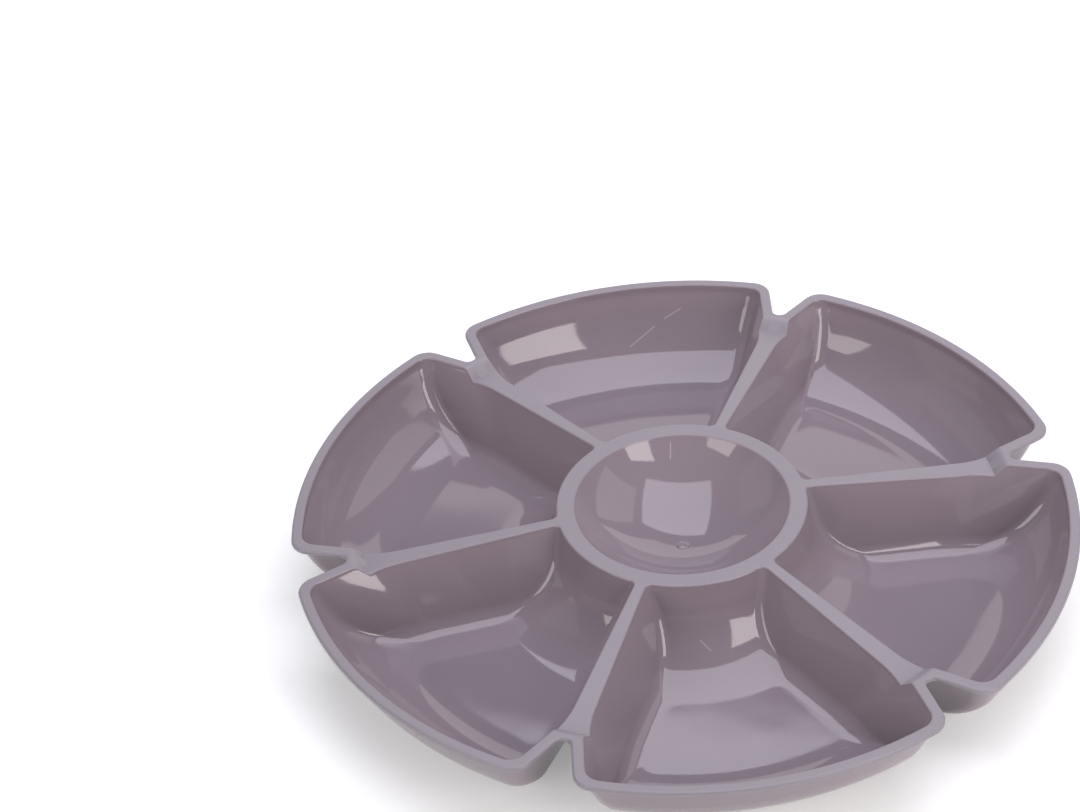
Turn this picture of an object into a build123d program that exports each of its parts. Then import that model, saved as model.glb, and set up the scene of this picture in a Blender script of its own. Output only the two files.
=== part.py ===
from build123d import *
import math
import os

# A round serving dish in one thin plastic moulding: six petal-shaped
# compartments stand round a shallow centre bowl. A ring, six dividers and a
# rim form one thin deck that carries the bowl and the compartments.
# The moulding is divided at its natural feature lines into named pieces that
# meet face to face. Millimetres, +Z up, the dish axis on Z, the table at Z = 0,
# and the first compartment towards the front, -Y.

# Whole dish
compartment_count = 6
first_compartment_angle = -90.0
overall_height = 36.0
outer_radius = 150.0
wall_thickness = 1.8
floor_thickness = 2.0
deck_thickness = 2.0
cut_overrun = 1.0

# Centre bowl, a part of a sphere, with the round mark of the moulding gate
bowl_edge_radius = 41.3
bowl_depth = 22.0
bowl_wall = 1.8
gate_mark_radius = 2.3
gate_mark_height = 0.4
gate_dimple_radius = 1.1
gate_dimple_depth = 0.25

# Centre ring round the bowl, the highest part of the dish
ring_width = 6.7
ring_wall_draft = 10.0
ring_foot_radius = 20.0
bowl_lip_round = 0.7

# Dividers, whose tops fall from the ring to the riser under the rim
divider_top_half_width = 2.0
divider_draft = 8.0
divider_foot_radius = 9.0
divider_fall = 6.3

# Rim, and the short riser that lifts each divider's end to it, just inside the notch
rim_drop = 2.0
rim_width = 4.2
rim_edge_round = 0.9
riser_run = 3.7
riser_crown_run = 1.4
riser_crown_drop = 0.7
notch_land = 2.1

# Notches between the petals
notch_depth = 25.3
notch_half_angle = 22.0
notch_tip_round = 3.0
petal_corner_round = 8.0

# Compartment walls: the outer wall drops straight, then slopes and curves in,
# and the divider walls flare outwards along the notches, earlier at the floor
outer_wall_band = 3.0
outer_wall_draft = 20.0
outer_foot_radius = 36.0
least_floor_length = 38.0
flare_floor_share = 0.3
flare_floor_angle = 11.0
flare_round = 40.0
inner_corner_top = 2.5
inner_corner_floor = 8.0
outer_corner_top = 6.0
outer_corner_floor = 10.0
least_corner = 0.5
pick_margin = 0.5

# Depths of the loft sections, as shares of the depth from ring top to floor
section_depth_shares = (0.0, 0.06, 0.15, 0.30, 0.47, 0.62, 0.75, 0.86, 0.935, 0.984, 1.0)

# Sizes that follow from the others
sector = 360.0 / compartment_count
half_sector = math.radians(sector / 2)
inner_depth = overall_height - floor_thickness
rim_height = overall_height - rim_drop
ring_radius = bowl_edge_radius + ring_width
ring_end_radius = ring_radius + inner_corner_top
notch_vertex_radius = outer_radius - notch_depth
notch_tip_radius = notch_vertex_radius + notch_tip_round / math.sin(math.radians(notch_half_angle)) - notch_tip_round
crown_end_radius = notch_tip_radius - notch_land
riser_top_radius = crown_end_radius - riser_crown_run
riser_foot_radius = riser_top_radius - riser_run
riser_foot_height = overall_height - divider_fall
bowl_radius = (bowl_edge_radius**2 + bowl_depth**2) / (2 * bowl_depth)
bowl_centre_height = overall_height - bowl_depth + bowl_radius


def wall_inset(depth, floor_depth, draft, foot_radius):
    """How far a wall has come in at a depth: a drafted run, then an arc that meets the floor flat."""
    lean = math.radians(draft)
    depth = min(max(depth, 0.0), floor_depth)
    arc_start = floor_depth - foot_radius * (1 - math.sin(lean))
    inset = min(depth, arc_start) * math.tan(lean)
    if depth > arc_start:
        drop = min(foot_radius * math.sin(lean) + depth - arc_start, foot_radius)
        inset += foot_radius * math.cos(lean) - math.sqrt(foot_radius**2 - drop**2)
    return inset


def fitting_foot(run, floor_depth, draft, foot_radius):
    """The foot radius of a wall, limited where the wall would come in by more than a run."""
    lean = math.radians(draft)
    growth = math.cos(lean) - (1 - math.sin(lean)) * math.tan(lean)
    return min(foot_radius, (run - floor_depth * math.tan(lean)) / growth)


def blend(start, end, share):
    """The value at a share of the way from one value to another."""
    return start + (end - start) * share


def on_circle(centre, radius, angle):
    """The point of a circle at an angle in radians."""
    return (centre[0] + radius * math.cos(angle), centre[1] + radius * math.sin(angle))


def depth_share(depth):
    """How far down a depth lies between the rim and the floor."""
    return min(max((depth - rim_drop) / (inner_depth - rim_drop), 0.0), 1.0)


def inner_corner(depth, wall):
    """The rounded corner between ring and divider at a depth: its centre, its radius and the two sides it joins."""
    ring_side = ring_radius - wall
    ring_side += wall_inset(depth, inner_depth, ring_wall_draft, ring_foot_radius)
    divider_side = divider_top_half_width - wall
    divider_side += wall_inset(depth, inner_depth, divider_draft, divider_foot_radius)
    radius = max(blend(inner_corner_top, inner_corner_floor, depth_share(depth)) - wall, least_corner)
    across = divider_side + radius
    centre = (math.sqrt((ring_side + radius) ** 2 - across**2), across)
    return centre, radius, ring_side, divider_side


def outer_side(depth, wall):
    """The radius of the outer wall at a depth. Its foot leaves at least the least length of floor."""
    rim_side = outer_radius - rim_width
    band_depth = rim_drop + outer_wall_band
    floor_depth = inner_depth - band_depth
    room = rim_side - inner_corner(inner_depth, 0)[2] - least_floor_length
    foot = fitting_foot(room, floor_depth, outer_wall_draft, outer_foot_radius)
    return rim_side + wall - wall_inset(depth - band_depth, floor_depth, outer_wall_draft, foot)


def flare_start(depth, wall):
    """Where a divider wall starts to flare outwards at a depth, and its lean there, in the notch frame.

    Under the rim the wall runs one rim width inside the notch. At the floor it starts to flare
    at a share of the way from the corner at the ring to the outer wall, and in between the
    start moves evenly with depth.
    """
    top_lean = math.radians(notch_half_angle)
    floor_lean = math.radians(flare_floor_angle)
    top_width = divider_top_half_width + rim_drop * math.tan(math.radians(divider_draft))
    top_start = notch_vertex_radius - (rim_width - top_width * math.cos(top_lean)) / math.sin(top_lean)
    bend_start = blend(inner_corner(inner_depth, 0)[0][0], outer_side(inner_depth, 0), flare_floor_share)
    floor_start = bend_start + flare_round * math.tan(floor_lean / 2)
    lean = blend(top_lean, floor_lean, depth_share(depth) ** 2)
    return blend(top_start, floor_start, depth_share(depth)) + wall * math.tan(lean / 2), lean


def half_outline(depth, wall):
    """One side of a compartment's outline, in the frame of the notch axis beside it.

    The first coordinate runs out along the notch axis, the second into the compartment.
    The inner outline has a wall of zero, and the outer outline lies one wall outside it.
    Returns the three arcs as start, middle and end points, and the radii at the ring and rim.
    """
    rim_side = outer_side(depth, wall)
    inner_centre, inner_round, ring_side, divider_side = inner_corner(depth, wall)
    inner_start = math.atan2(-inner_centre[1], -inner_centre[0])

    flare_from, flare_lean = flare_start(depth, wall)
    bend_round = flare_round + wall
    bend_centre = (flare_from - bend_round * math.tan(flare_lean / 2), divider_side + bend_round)

    outer_round = blend(outer_corner_top, outer_corner_floor, depth_share(depth)) + wall
    across = (-math.sin(flare_lean), math.cos(flare_lean))
    along = (math.cos(flare_lean), math.sin(flare_lean))
    base = (flare_from + outer_round * across[0], divider_side + outer_round * across[1])
    base_along = base[0] * along[0] + base[1] * along[1]
    base_square = base[0] ** 2 + base[1] ** 2
    reach = -base_along + math.sqrt(base_along**2 - base_square + (rim_side - outer_round) ** 2)
    outer_centre = (base[0] + reach * along[0], base[1] + reach * along[1])

    right_angle = math.pi / 2
    spans = (
        (inner_centre, inner_round, inner_start, -right_angle),
        (bend_centre, bend_round, -right_angle, flare_lean - right_angle),
        (outer_centre, outer_round, flare_lean - right_angle, math.atan2(outer_centre[1], outer_centre[0])),
    )
    arcs = []
    for centre, radius, start, end in spans:
        arcs.append([on_circle(centre, radius, angle) for angle in (start, (start + end) / 2, end)])
    return arcs, ring_side, rim_side


def section_face(depth, wall, height):
    """A compartment's closed outline at one depth, laid at a height, with its petal along +X."""
    arcs, ring_side, rim_side = half_outline(depth, wall)
    turn_cos = math.cos(half_sector)
    turn_sin = math.sin(half_sector)
    right = []
    for arc in arcs:
        turned = [(x * turn_cos + y * turn_sin, y * turn_cos - x * turn_sin) for x, y in arc]
        right.append(turned)
    left = []
    for arc in reversed(right):
        left.append([(x, -y) for x, y in reversed(arc)])
    edges = []
    corners = right + left
    for index, arc in enumerate(corners):
        edges.append(ThreePointArc(*arc))
        following = corners[(index + 1) % len(corners)]
        if index == len(right) - 1:
            edges.append(ThreePointArc(arc[-1], (rim_side, 0), following[0]))
        elif index == len(corners) - 1:
            edges.append(ThreePointArc(arc[-1], (ring_side, 0), following[0]))
        else:
            edges.append(Line(arc[-1], following[0]))
    return Pos(0, 0, height) * Face(Wire(edges))


def compartment_block(wall, floor_height):
    """The solid inside a compartment's inner or outer surface, from above the ring down to its floor."""
    drop = overall_height - floor_height
    faces = [section_face(0, wall, overall_height + cut_overrun)]
    for share in section_depth_shares:
        faces.append(section_face(share * inner_depth, wall, overall_height - share * drop))
    return loft(faces)


def deck_profile(drop):
    """The top line of ring, divider, riser and rim, from the axis outwards, lowered by a drop."""
    return [
        (0, overall_height - drop),
        (ring_radius, overall_height - drop),
        (riser_foot_radius, riser_foot_height - drop),
        (riser_top_radius, rim_height - riser_crown_drop - drop),
        (crown_end_radius, rim_height - drop),
        (outer_radius + cut_overrun, rim_height - drop),
    ]


def revolved(points):
    """A closed profile of radius and height points, turned once round the dish axis."""
    outline = Polyline(*[(radius, 0, height) for radius, height in points], close=True)
    return revolve(make_face(outline), axis=Axis.Z)


def petal_outline():
    """The dish's outline from above, one petal along +X: a circle with a notch between the petals."""
    outline = Circle(outer_radius)
    far = outer_radius + cut_overrun
    half_width = (far - notch_vertex_radius) * math.tan(math.radians(notch_half_angle))
    notch = make_face(Polyline((notch_vertex_radius, 0), (far, half_width), (far, -half_width), close=True))
    for index in range(compartment_count):
        outline -= Rot(0, 0, (index + 1 / 2) * sector) * notch
    middle_radius = (notch_vertex_radius + outer_radius) / 2
    tips = [v for v in outline.vertices() if math.hypot(v.X, v.Y) < middle_radius]
    outline = fillet(tips, notch_tip_round)
    outer_corners = [v for v in outline.vertices() if math.hypot(v.X, v.Y) > outer_radius - pick_margin]
    return fillet(outer_corners, petal_corner_round)


def compartment_angle(index):
    """The direction of a compartment's middle, in degrees from +X."""
    return first_compartment_angle + index * sector


def cylinder(radius):
    """A cylinder on the dish axis that is taller than the dish at both ends."""
    height = overall_height + 2 * cut_overrun
    return Pos(0, 0, -cut_overrun) * Cylinder(radius, height, align=(Align.CENTER, Align.CENTER, Align.MIN))


def write(name, shape):
    """Label one piece and write it as a STEP file."""
    shape.label = name
    export_step(shape, os.path.join("parts", name + ".step"))


# The space inside one compartment, with its petal along +X, and the sector that one petal fills
cavity = compartment_block(0, floor_thickness)
sector_side = outer_radius + cut_overrun
sector_half_width = sector_side * math.tan(half_sector)
sector_face = make_face(Polyline((0, 0), (sector_side, sector_half_width), (sector_side, -sector_half_width), close=True))
sector_block = extrude(sector_face, overall_height + cut_overrun)

# The deck before the compartments and the bowl are cut from it: ring, dividers and rim in one
deck = revolved(deck_profile(0) + deck_profile(deck_thickness)[::-1])
deck &= extrude(petal_outline(), overall_height + cut_overrun)

# Centre ring, with a rounded lip at the bowl
bowl_hollow = Pos(0, 0, bowl_centre_height) * Sphere(bowl_radius)
ring = (deck & cylinder(ring_end_radius)) - bowl_hollow
circles = ring.edges().filter_by(GeomType.CIRCLE)
lip = [e for e in circles if abs(e.radius - bowl_edge_radius) < pick_margin and e.position_at(0).Z > rim_height]
ring = fillet(lip, bowl_lip_round)
for index in range(compartment_count):
    ring -= Rot(0, 0, compartment_angle(index)) * cavity
write("centre_ring", ring)

# Dividers, each the strip that two neighbouring compartments leave between ring and riser
strip = (deck & cylinder(riser_foot_radius)) - cylinder(ring_end_radius)
strip = strip & (Rot(0, 0, sector / 2) * sector_block)
strip = strip - cavity - Rot(0, 0, sector) * cavity
for index in range(compartment_count):
    write("divider_" + str(index + 1), Rot(0, 0, compartment_angle(index)) * strip)

# Rim, parted at the notches, one piece round each petal with its share of two risers
band = (deck - cylinder(riser_foot_radius)) & sector_block
rim_edges = []
for edge in band.edges():
    middle = edge.position_at(1 / 2)
    beyond_crown = math.hypot(middle.X, middle.Y) > crown_end_radius + pick_margin
    in_split = abs(abs(math.atan2(middle.Y, middle.X)) - half_sector) * outer_radius < pick_margin / 10
    if beyond_crown and not in_split and abs(middle.Z - rim_height) < pick_margin:
        rim_edges.append(edge)
band = fillet(rim_edges, rim_edge_round) - cavity
for index in range(compartment_count):
    write("rim_" + str(index + 1), Rot(0, 0, compartment_angle(index)) * band)

# Compartments, thin tubs that hang under the deck and stand on the table
over_deck = [(outer_radius + cut_overrun, overall_height + 2 * cut_overrun), (0, overall_height + 2 * cut_overrun)]
above = revolved(deck_profile(deck_thickness) + over_deck)
tub = compartment_block(wall_thickness, 0) - cavity - above
for index in range(compartment_count):
    write("compartment_" + str(index + 1), Rot(0, 0, compartment_angle(index)) * tub)

# Centre bowl, a spherical shell under the ring, with the gate mark on its bottom
shell = Pos(0, 0, bowl_centre_height) * Sphere(bowl_radius + bowl_wall) - bowl_hollow
below_ring = Pos(0, 0, -cut_overrun) * Cylinder(
    ring_radius,
    overall_height - deck_thickness + cut_overrun,
    align=(Align.CENTER, Align.CENTER, Align.MIN),
)
bowl_floor_height = bowl_centre_height - bowl_radius
mark_foot = bowl_floor_height - bowl_wall / 2
mark_height = bowl_wall / 2 + gate_mark_height
mark = Pos(0, 0, mark_foot) * Cylinder(gate_mark_radius, mark_height, align=(Align.CENTER, Align.CENTER, Align.MIN))
dimple = Pos(0, 0, mark_foot + mark_height) * Cylinder(gate_dimple_radius, 2 * gate_dimple_depth)
write("centre_bowl", (shell & below_ring) + mark - dimple)
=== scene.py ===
import functools
import math

import bpy
import numpy as np
from bpy.props import FloatProperty, FloatVectorProperty, IntProperty, PointerProperty
from mathutils import Matrix, Vector


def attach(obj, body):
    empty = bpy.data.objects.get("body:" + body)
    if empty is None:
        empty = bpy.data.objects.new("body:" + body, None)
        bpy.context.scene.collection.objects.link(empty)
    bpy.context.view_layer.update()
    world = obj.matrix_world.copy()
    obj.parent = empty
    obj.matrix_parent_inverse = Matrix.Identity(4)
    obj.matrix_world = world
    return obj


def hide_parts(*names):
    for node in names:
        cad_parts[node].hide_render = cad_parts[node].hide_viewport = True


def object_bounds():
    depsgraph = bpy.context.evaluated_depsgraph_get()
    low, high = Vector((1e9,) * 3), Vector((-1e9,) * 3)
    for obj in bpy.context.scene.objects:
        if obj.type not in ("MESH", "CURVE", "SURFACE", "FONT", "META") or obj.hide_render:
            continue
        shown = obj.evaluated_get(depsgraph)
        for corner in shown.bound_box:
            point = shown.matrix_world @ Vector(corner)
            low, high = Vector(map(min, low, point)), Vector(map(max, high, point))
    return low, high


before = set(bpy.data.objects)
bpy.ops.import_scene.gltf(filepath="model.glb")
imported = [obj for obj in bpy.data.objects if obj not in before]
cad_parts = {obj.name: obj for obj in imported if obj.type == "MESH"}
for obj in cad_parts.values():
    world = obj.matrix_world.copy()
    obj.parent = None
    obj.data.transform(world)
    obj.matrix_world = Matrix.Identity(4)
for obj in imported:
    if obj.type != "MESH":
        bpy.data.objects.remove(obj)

bl_info = {
    "name": "Sectional serving dish",
    "version": (1, 0, 0),
    "blender": (4, 5, 0),
    "location": "3D View > Sidebar > Dish",
    "description": "A round moulded dish with petal compartments around a centre bowl, and its studio",
    "category": "Add Mesh",
}

# How many samples each kind of stretch gets, in a compartment's outline (see wall_curve) and in the dish's
# edge (see rim_curve). The flare has so many up to the notch's tip and so many after it.
FLARE = 4
FLARE_COUNTS = (8, 30)
WALL_COUNTS = (24, 12, 36, 16, sum(FLARE_COUNTS), 18, 45)
EDGE_COUNTS = (14, 16, 18, 45)
# The columns where the ring's arc, the bowl, the ring and the notch axis end, counted from the petal's middle
ARC_END = WALL_COUNTS[0]
BOWL_END = ARC_END + WALL_COUNTS[1] // 2
RING_END = ARC_END + WALL_COUNTS[1]
TIP = sum(WALL_COUNTS[:FLARE]) + FLARE_COUNTS[0]
# How many rows each surface gets
INNER_WALL_ROWS = 56
OUTER_WALL_ROWS = 36
FLOOR_ROWS = 12
FOOT_ROWS = 8
DECK_ROWS = 6
ROUND_ROWS = 6
UNDER_ROUND_ROWS = 4
LIP_ROWS = 7
BOWL_ROWS = 60
BOWL_UNDER_ROWS = 40
# How finely the flare is searched for the notch's tip, and how often a depth's error at the deck is halved
SPLIT_SAMPLES = 400
DEPTH_TRIES = 40
# The lower round takes at most this share of its room, and the bowl's rows stop at this many gate mark radii
UNDER_ROUND_SHARE = 0.4
GATE_MARGIN = 1.25
# Points this near to each other are one, and edges turning more than this stay sharp
WELD = 2e-7
SHARP = math.radians(35)

CAD_BOX = [list(corner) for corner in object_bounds()]
DISH_HEIGHT = round(CAD_BOX[1][2], 4)


def scalar(name, value, words, **limits):
    """A plain number."""
    return FloatProperty(name=name, description=words, default=value, **limits)


def length(name, value, words):
    """A length in metres, shown in the scene's units."""
    return scalar(name, value, words, unit="LENGTH", precision=5)


def angle(name, degrees, words):
    """An angle, given here in degrees."""
    return scalar(name, math.radians(degrees), words, subtype="ANGLE", unit="ROTATION")


def colour(name, value, words):
    """A linear colour."""
    limits = {"min": 0, "max": 1}
    return FloatVectorProperty(name=name, description=words, default=value, size=3, subtype="COLOR", **limits)


class DishSizes(bpy.types.PropertyGroup):
    """The sizes of the moulding."""

    petals: IntProperty(name="Petals", description="Compartments round the bowl", default=6, min=3)
    first_petal: angle("First petal", -90, "Direction of the first compartment's middle")
    overall_height: length("Overall height", DISH_HEIGHT, "Table to the top of the ring")
    outer_radius: length("Outer radius", 0.150, "Dish axis to the rim's edge")
    wall: length("Wall", 0.0018, "Thickness of the compartment walls")
    floor: length("Floor", 0.002, "Thickness of the compartment floors")
    deck: length("Deck", 0.002, "Thickness of ring, dividers and rim")
    bowl_edge_radius: length("Bowl edge radius", 0.0413, "Dish axis to the bowl's edge")
    bowl_depth: length("Bowl depth", 0.022, "Ring top to the bottom of the bowl")
    bowl_wall: length("Bowl wall", 0.0018, "Thickness of the bowl")
    bowl_lip: length("Bowl lip", 0.0009, "Rounding between the ring and the bowl")
    gate_radius: length("Gate mark radius", 0.0023, "Radius of the raised mark in the bowl")
    gate_height: length("Gate mark height", 0.0004, "Height of the raised mark in the bowl")
    gate_dimple: length("Gate dimple radius", 0.0011, "Radius of the dimple in the mark")
    ring_width: length("Ring width", 0.0067, "Width of the ring round the bowl")
    ring_draft: angle("Ring draft", 10, "Lean of the compartment walls under the ring")
    ring_foot: length("Ring foot", 0.027, "Radius between those walls and the floor")
    divider_half: length("Divider half width", 0.002, "Half the width of a divider's top")
    divider_draft: angle("Divider draft", 17, "Lean of the divider walls")
    divider_foot: length("Divider foot", 0.0075, "Radius between the divider walls and the floor")
    divider_floor_lean: angle("Divider floor lean", 1, "Widening of the compartments at the floor")
    floor_fall: angle("Floor fall", 3.5, "Fall of the compartment floors out to the rim")
    divider_fall: length("Divider fall", 0.0063, "How far a divider's top falls from the ring to the riser")
    rim_drop: length("Rim drop", 0.002, "How far the rim lies below the ring")
    rim_width: length("Rim width", 0.0042, "Width of the rim")
    rim_round: length("Rim round", 0.0009, "Rounding of the rim's upper edge")
    rim_under_round: length("Rim lower round", 0.0004, "Rounding of the rim's lower edge")
    inner_round: length("Inner edge round", 0.0007, "Rounding from the deck into a compartment")
    under_round: length("Under round", 0.0006, "Rounding from the underside into the outer walls")
    ring_bend: length("Ring bend", 0.0012, "Half width of the bend where a divider leaves the ring")
    riser_bend: length("Riser bend", 0.0006, "Half width of the bends at the riser's foot and top")
    riser_lead: length("Riser lead", 0.0008, "How far before the riser's foot the rim begins")
    riser_run: length("Riser run", 0.0037, "Length of the slope up to the rim")
    crown_run: length("Crown run", 0.0014, "Length of the gentle slope at the riser's top")
    crown_drop: length("Crown drop", 0.0007, "Height of that gentle slope")
    notch_land: length("Notch land", 0.0021, "Flat rim between the riser and the notch")
    notch_depth: length("Notch depth", 0.0253, "Rim's edge to the sharp tip of the notch")
    notch_angle: angle("Notch half angle", 22, "Lean of the notch's sides")
    notch_tip: length("Notch tip round", 0.003, "Radius of the notch's tip")
    petal_corner: length("Petal corner round", 0.008, "Radius of the rim's outer corners")
    wall_band: length("Outer wall band", 0.003, "Straight drop of the outer wall under the rim")
    outer_draft: angle("Outer draft", 20, "Lean of the outer wall")
    outer_foot: length("Outer foot", 0.036, "Radius between the outer wall and the floor")
    flare_share: scalar("Flare share", 0.55, "Where the divider walls flare at the floor")
    flare_floor_angle: angle("Flare floor angle", 4, "Flare of the divider walls at the floor")
    flare_round: length("Flare round", 0.040, "Radius of the bend where the flare starts")
    inner_corner_top: length("Inner corner top", 0.0025, "Corner radius at the ring, at the top")
    inner_corner_floor: length("Inner corner floor", 0.005, "Corner radius at the ring, at the floor")
    outer_corner_top: length("Outer corner top", 0.006, "Corner radius at the rim, at the top")
    outer_corner_floor: length("Outer corner floor", 0.005, "Corner radius at the rim, at the floor")
    least_corner: length("Least corner", 0.0005, "Smallest corner radius")


class DishFinish(bpy.types.PropertyGroup):
    """The colours and the gloss of the plastic. The deck's colour is the plastic's own colour, painted lighter
    and cooler as if lit from above.
    """

    wall_colour: colour("Wall colour", (0.280, 0.226, 0.258), "Plastic of the compartments and the bowl")
    # The deck's colour is the same plastic as the walls, painted lighter and cooler where the light from above
    # falls on the deck
    lit_deck_colour: colour("Lit deck colour", (0.285, 0.250, 0.282), "Plastic of the ring, the dividers and the rim")
    wall_roughness: scalar("Wall roughness", 0.06, "Roughness of the walls", min=0, max=1)
    deck_roughness: scalar("Deck roughness", 0.42, "Roughness of the deck", min=0, max=1)


class DishStudio(bpy.types.PropertyGroup):
    """The camera and the light."""

    azimuth: angle("Azimuth", -6.657, "Direction that the camera looks along, from +Y")
    elevation: angle("Elevation", 37.851, "Height of the camera above the horizon")
    roll: angle("Roll", -4.515, "Turn of the camera about its view")
    distance: length("Distance", 0.98527, "Camera to the dish axis at the ring, along the view")
    side: length("Side step", 0.0541, "How far the dish axis lies right of the view's middle")
    rise: length("Rise", -0.036737, "How far the dish axis lies above the view's middle")
    focal: scalar("Focal length", 85.885, "Lens of the camera in millimetres")
    overhead: scalar("Overhead box", 2.6, "Radiance of the soft box above")
    right: scalar("Right box", 4.7, "Radiance of the soft box on the right")
    left: scalar("Left box", 3.2, "Radiance of the soft box on the left")
    backdrop: scalar("Backdrop", 1.25, "Radiance of the white backdrop behind")
    panel: scalar("Panel", 0.9, "Radiance of the reflector on the far right")
    screen: scalar("Screen", 0.35, "Radiance of the grey screen on the left")
    room: scalar("Room", 0.13, "Radiance of the room around")
    paper: scalar("Paper glow", 0.28, "What the camera sees added to the lit paper")


# ---- the moulding's surfaces


def wall_inset(depth, floor_depth, draft, foot):
    """How far a wall has come in at a depth.

    It is the depth times the draft's tangent, then a circle that meets the floor flat.
    """
    depth = np.clip(depth, 0, floor_depth)
    start = floor_depth - foot * (1 - math.sin(draft))
    drop = np.clip(foot * math.sin(draft) + depth - start, 0, foot)
    arc = foot * math.cos(draft) - np.sqrt(np.maximum(foot**2 - drop**2, 0))
    return np.minimum(depth, start) * math.tan(draft) + np.where(depth > start, arc, 0)


def depth_share(depth, s):
    """How far down a depth lies between the rim and the floor."""
    return np.clip((depth - s.rim_drop) / (s.overall_height - s.floor - s.rim_drop), 0, 1)


def divider_line(depth, wall, s):
    """A divider wall's line at a depth: how far it is off the notch axis at the ring, and its tangent."""
    floor_depth = s.overall_height - s.floor
    side = s.divider_half - wall + wall_inset(depth, floor_depth, s.divider_draft, s.divider_foot)
    return side, math.tan(s.divider_floor_lean) * depth_share(depth, s)


def inner_corner(depth, wall, s):
    """The corner between ring and divider: its centre along and across the axis, its radius and the ring's.

    Its centre stands the radius off both, so it lies on the ring's circle grown by the radius and
    on the divider's line moved in by the radius: a quadratic in the distance along the axis.
    """
    ring = s.bowl_edge_radius + s.ring_width - wall
    ring = ring + wall_inset(depth, s.overall_height - s.floor, s.ring_draft, s.ring_foot)
    side, slope = divider_line(depth, wall, s)
    share = depth_share(depth, s)
    radius = s.inner_corner_top + (s.inner_corner_floor - s.inner_corner_top) * share - wall
    radius = np.maximum(radius, s.least_corner)
    stretch = np.sqrt(1 + slope**2)
    offset = side - (s.bowl_edge_radius + s.ring_width) * slope + radius * stretch
    root = (slope * offset) ** 2 - stretch**2 * (offset**2 - (ring + radius) ** 2)
    along = (np.sqrt(root) - slope * offset) / stretch**2
    return along, slope * along + offset, radius, ring


def outer_side(depth, wall, s):
    """The radius of the outer wall at a depth: a straight band, then the drafted wall and its foot."""
    band = s.rim_drop + s.wall_band
    inset = wall_inset(depth - band, s.overall_height - s.floor - band, s.outer_draft, s.outer_foot)
    return s.outer_radius - s.rim_width + wall - inset


def outer_corner(start, side, lean, radius, rim):
    """The centre of a petal's outer corner, along and across the notch axis.

    It lies on a line that leans from the axis, moved in by the radius, and on the rim's circle made
    smaller by the radius: a quadratic in the distance along the line.
    """
    base_r = start - radius * np.sin(lean)
    base_t = side + radius * np.cos(lean)
    along = base_r * np.cos(lean) + base_t * np.sin(lean)
    reach = np.sqrt(along**2 - base_r**2 - base_t**2 + (rim - radius) ** 2) - along
    return base_r + reach * np.cos(lean), base_t + reach * np.sin(lean)


def to_petal(along, across, half):
    """Turns coordinates along and across the notch axis into x and y with the petal along +X."""
    return along * math.cos(half) + across * math.sin(half), across * math.cos(half) - along * math.sin(half)


def traced(kind, share, arcs, lines, half):
    """Points and outward directions along an outline of arcs and lines, each given under its kind.

    An arc is its centre, radius, first and last angle and the sign of its outward direction: its points
    are the centre plus the radius times (cos, sin). A line is its two ends and its outward direction.
    """
    shape = np.broadcast(share, arcs[0][2]).shape
    outline = [np.zeros(shape) for _ in range(4)]

    def fill(number, *values):
        here = np.broadcast_to(kind == number, shape)
        for target, value in zip(outline, values):
            target[here] = np.broadcast_to(value, shape)[here]

    for number, (centre_r, centre_t, radius, begin, end, sign) in arcs.items():
        turn = begin + (end - begin) * share
        east, north = np.cos(turn), np.sin(turn)
        fill(number, centre_r + radius * east, centre_t + radius * north, sign * east, sign * north)
    for number, (begin, end, normal) in lines.items():
        fill(number, *(a + (b - a) * share for a, b in zip(begin, end)), *normal)
    return (*to_petal(*outline[:2], half), *to_petal(*outline[2:], half))


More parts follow.
